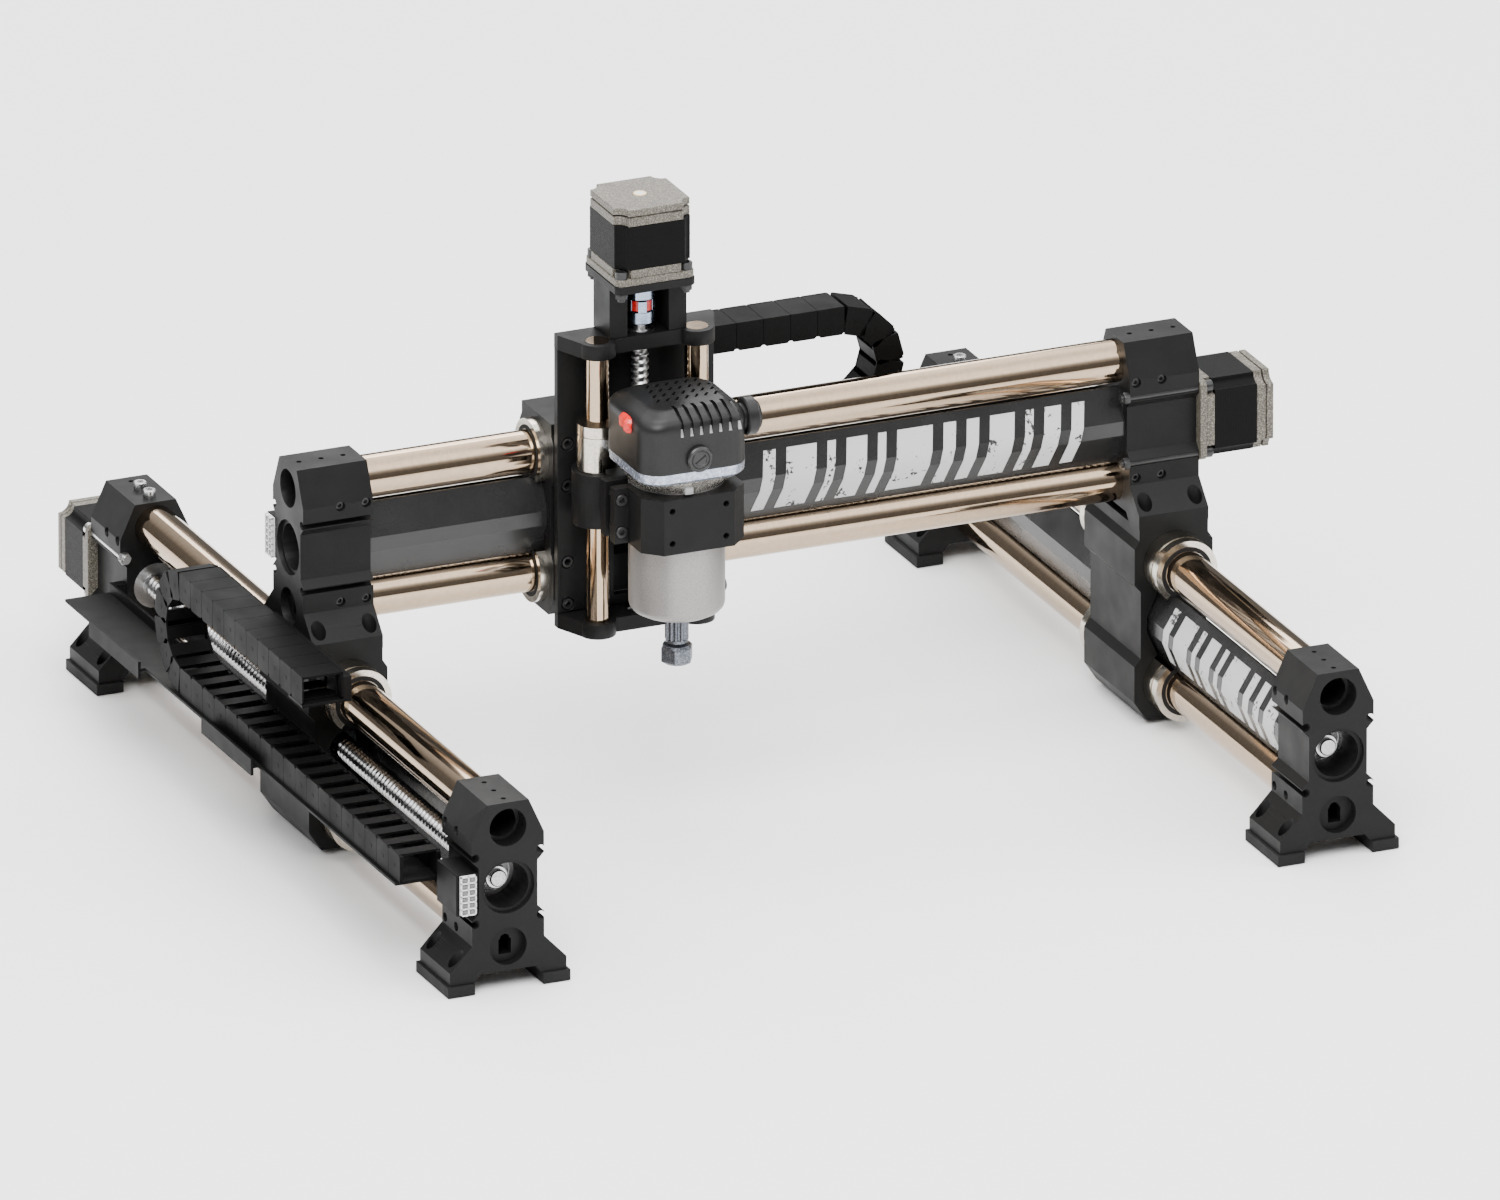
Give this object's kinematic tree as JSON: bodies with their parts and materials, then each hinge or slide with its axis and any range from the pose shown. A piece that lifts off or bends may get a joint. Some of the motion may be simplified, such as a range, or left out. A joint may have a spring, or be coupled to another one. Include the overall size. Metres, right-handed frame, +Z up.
{
  "type": "cnc router",
  "caption": "Bench-top gantry CNC router: tube rails and ball screws on three axes, stepper motors, cable chains and a trim router on a Z slide.",
  "frame": {"origin": "centre of the rectangle of the four feet, on the bench plane under the foot pads", "axes": "+Z up, +Y towards the back (motor end of the Y axes), +X to the right seen from the front"},
  "size_m": [0.7517, 0.7123, 0.439],
  "materials": {
    "black_anodised": "matte black anodised",
    "black_plastic": "satin moulded",
    "polished_tube": "polished",
    "dark_sheet": "satin black powder coat",
    "motor_case": "cast ends and black laminated core",
    "steel_fastener": "zinc plated",
    "black_fastener": "black oxide",
    "bearing_steel": "ground",
    "dark_steel": "dark ground steel",
    "chain_plastic": "satin moulded",
    "white_connector": "moulded",
    "router_aluminium": "fine cast, satin",
    "clear_skirt": "tinted translucent",
    "red_plastic": "gloss"
  },
  "bodies": {
    "base": {"feet": "black_anodised", "foot_pads": "black_plastic", "y_tubes": "polished_tube", "y_covers": "dark_sheet", "y_left_motor": "motor_case", "y_right_motor": "motor_case", "base_fasteners": "steel_fastener", "y_screw_bearings": "bearing_steel", "y_chain_tray": "dark_sheet", "y_chain_lower_run": "chain_plastic", "y_connector": "white_connector"},
    "gantry": {"y_left_block": "black_anodised", "y_right_block": "black_anodised", "y_bushings": "bearing_steel", "y_ball_nuts": "dark_steel", "left_end_plate": "black_anodised", "right_end_plate": "black_anodised", "gantry_fasteners": "steel_fastener", "x_tubes": "polished_tube", "x_cover": "dark_sheet", "x_motor": "motor_case", "x_screw_bearings": "bearing_steel", "x_chain_shelf": "dark_sheet", "x_chain_lower_run": "chain_plastic", "x_connector": "white_connector", "y_chain_upper_run": "chain_plastic", "y_chain_arm": "dark_sheet"},
    "carriage": {"x_block": "black_anodised", "x_bushings": "bearing_steel", "x_ball_nut": "dark_steel", "z_back_plate": "black_anodised", "z_top_plate": "black_anodised", "z_bottom_plate": "black_anodised", "z_rails": "polished_tube", "z_screw_bearings": "bearing_steel", "z_motor_riser": "black_anodised", "z_motor": "motor_case", "carriage_fasteners": "black_fastener", "x_chain_arm": "dark_sheet", "x_chain_upper_run": "chain_plastic"},
    "slide": {"z_slide_block": "black_anodised", "z_bushings": "bearing_steel", "z_nut": "dark_steel", "router_clamp": "black_anodised", "clamp_screws": "black_fastener", "router_body": "router_aluminium", "router_skirt": "clear_skirt", "router_housing": "black_plastic", "brush_caps": "black_plastic", "cord_gland": "black_plastic"},
    "left_screw": {"y_left_screw": "dark_steel"},
    "right_screw": {"y_right_screw": "dark_steel"},
    "cross_screw": {"x_screw": "dark_steel"},
    "lift_screw": {"z_screw": "bearing_steel"},
    "rotor": {"spindle": "dark_steel", "collet_nut": "dark_steel"},
    "switch": {"power_switch": "red_plastic"},
    "lock_button": {"spindle_lock_button": "black_plastic"},
    "y_bend": {"y_chain_bend": "chain_plastic"},
    "x_bend": {"x_chain_bend": "chain_plastic"}
  },
  "joints": [
    {"name": "y_travel", "type": "slide", "parent": "base", "child": "gantry", "axis": [0, 1, 0], "range_m": [-0.195, 0.221], "deforming": ["y_chain_lower_run", "y_chain_upper_run"]},
    {"name": "x_travel", "type": "slide", "parent": "gantry", "child": "carriage", "axis": [1, 0, 0], "range_m": [-0.119, 0.297], "deforming": ["x_chain_lower_run", "x_chain_upper_run"]},
    {"name": "z_travel", "type": "slide", "parent": "carriage", "child": "slide", "axis": [0, 0, 1], "range_m": [-0.068, 0.046]},
    {"name": "y_left_screw_turn", "type": "hinge", "parent": "base", "child": "left_screw", "pos_m": [-0.3017, 0, 0.07255], "axis": [0, 1, 0], "continuous": true},
    {"name": "y_right_screw_turn", "type": "hinge", "parent": "base", "child": "right_screw", "pos_m": [0.3017, 0, 0.07255], "axis": [0, 1, 0], "continuous": true},
    {"name": "x_screw_turn", "type": "hinge", "parent": "gantry", "child": "cross_screw", "pos_m": [0, -0.0136, 0.20675], "axis": [1, 0, 0], "continuous": true},
    {"name": "z_screw_turn", "type": "hinge", "parent": "carriage", "child": "lift_screw", "pos_m": [-0.089, -0.0554, 0.24], "axis": [0, 0, 1], "continuous": true},
    {"name": "spindle_turn", "type": "hinge", "parent": "slide", "child": "rotor", "pos_m": [-0.089, -0.1173, 0.2], "axis": [0, 0, 1], "continuous": true},
    {"name": "power_switch_rock", "type": "hinge", "parent": "slide", "child": "switch", "pos_m": [-0.1275, -0.1233, 0.304], "axis": [0, 0, 1], "range_deg": [-6, 6]},
    {"name": "lock_button_press", "type": "slide", "parent": "slide", "child": "lock_button", "axis": [-1, 0, 0], "range_m": [0, 0.002], "stiffness_N_per_m": 400, "springref_m": -0.0005},
    {"name": "y_chain_follow", "type": "slide", "parent": "base", "child": "y_bend", "axis": [0, 1, 0], "range_m": [-0.0975, 0.1105]},
    {"name": "x_chain_follow", "type": "slide", "parent": "gantry", "child": "x_bend", "axis": [1, 0, 0], "range_m": [-0.0595, 0.1485]}
  ],
  "couplings": [
    {"joint": "y_left_screw_turn", "follows": "y_travel", "rad_per_m": 628.32},
    {"joint": "y_right_screw_turn", "follows": "y_travel", "rad_per_m": 628.32},
    {"joint": "x_screw_turn", "follows": "x_travel", "rad_per_m": 628.32},
    {"joint": "z_screw_turn", "follows": "z_travel", "rad_per_m": 628.32},
    {"joint": "y_chain_follow", "follows": "y_travel", "ratio": 0.5},
    {"joint": "x_chain_follow", "follows": "x_travel", "ratio": 0.5}
  ]
}
